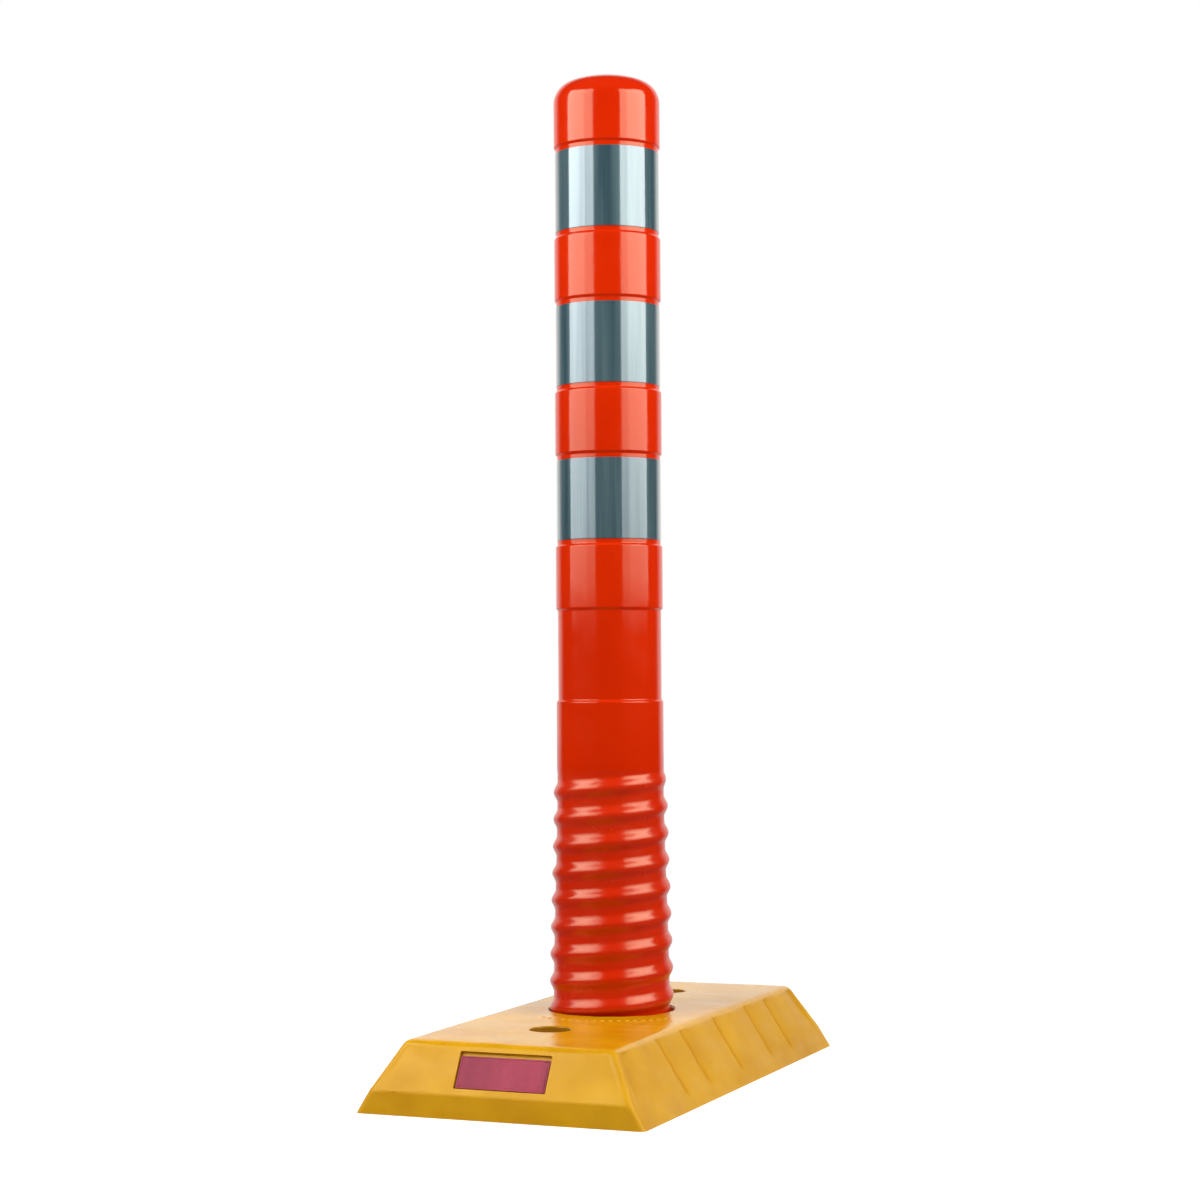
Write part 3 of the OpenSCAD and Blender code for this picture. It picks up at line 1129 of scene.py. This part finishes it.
yellow = new_material("yellow_polymer", 0.3, ior=1.48)
yellow_shader = yellow.node_tree.nodes["Principled BSDF"]
yellow_shader.inputs["Specular Tint"].default_value = (1, 0.80, 0.40, 1)
yellow_cloud = noise_map(yellow, 24, 4)
unshaded_yellow = blend_colours(yellow, yellow_cloud, (0.54, 0.255, 0.0008), (0.65, 0.335, 0.0025), 0.3, 0.7)
# Painted shade: inside the anchor holes the yellow turns dark, as their walls are in shade.
painted_hole_shade = near_anchor(yellow, head_radius, head_radius + 0.8 * MM)
yellow_colour = mix(yellow, painted_hole_shade, unshaded_yellow, (0.30, 0.125, 0.005))
# Painted shade: the amount on the base's points darkens the yellow in the creases and beside the bead, and
# adds to its roughness.
crease_shade_node = add(yellow, "ShaderNodeAttribute", attribute_name="crease_shade")
crease_shade_share = add(yellow, "ShaderNodeMath", operation="MULTIPLY")
crease_shade_share.inputs[1].default_value = 0.60
link(yellow, crease_shade_node.outputs["Fac"], crease_shade_share.inputs[0])
yellow_colour = mix(yellow, crease_shade_share.outputs[0], yellow_colour, (0.42, 0.150, 0.0005))
on_top = height_share(yellow, base_height - 5 * MM, base_height - MM)
worn = vary(yellow, noise_map(yellow, 30, 4, (1, 1, 2.5)), 0.9, 1.3)
polish = add(yellow, "ShaderNodeMapRange")
polish.inputs["To Min"].default_value = 0.40
polish.inputs["To Max"].default_value = 0.19
link(yellow, on_top, polish.inputs["Value"])
dull = add(yellow, "ShaderNodeMath", operation="ADD", use_clamp=True)
link(yellow, times(yellow, polish.outputs["Result"], worn), dull.inputs[0])
link(yellow, crease_shade_share.outputs[0], dull.inputs[1])
finish(yellow, yellow_colour, dull.outputs[0])
relief(yellow, [(noise_map(yellow, 40, 2), 0.25, 0.0003), (noise_map(yellow, 700, 3), 0.15, 0.00004)])
base.data.materials.clear()
base.data.materials.append(yellow)
print(yellow.name, "on", base.name)

# %% Silver film
silver = new_material("silver_film", 0.1, metallic=0.3, ior=1.6)
silver_shader = silver.node_tree.nodes["Principled BSDF"]
silver_shader.inputs["Coat Weight"].default_value = 1.0
silver_shader.inputs["Coat Roughness"].default_value = 0.05
streaks = noise_map(silver, 130, 3, (1, 1, 0.03))
silver_colour = blend_colours(silver, streaks, (0.045, 0.092, 0.118), (0.100, 0.168, 0.192))
finish(silver, silver_colour, vary(silver, noise_map(silver, 500, 3), 0.10, 0.18))
relief(silver, [(streaks, 0.25, 0.0001)])
for film in bands:
    film.data.materials.clear()
    film.data.materials.append(silver)
print(silver.name, "on", len(bands), "bands")

# %% Red prismatic tile
red = new_material("red_prismatic", 0.45, ior=1.3)
red_shader = red.node_tree.nodes["Principled BSDF"]
red_shader.inputs["Coat Weight"].default_value = 0.05
red_shader.inputs["Coat Roughness"].default_value = 0.12
bars = noise_map(red, 55, 2, (1, 0.05, 0.05))
red_colour = blend_colours(red, bars, (0.27, 0.018, 0.050), (0.36, 0.028, 0.068))
finish(red, red_colour, vary(red, noise_map(red, 300, 3), 0.42, 0.55))
relief(red, [(noise_map(red, 1200, 2), 0.2, 0.00004)])
for tile in tiles:
    tile.data.materials.clear()
    tile.data.materials.append(red)
print(red.name, "on", len(tiles), "tiles")

# %% [markdown]
# ## Ridged rings
# Each ridged ring's place is applied to its points, so that its object stands at the origin.

# %% Apply each ring's place to its points
for index, ring in enumerate(rings):
    ring_bottom = flex_bottom + index * ring_height
    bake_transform(ring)
print(len(rings), "rings joined")
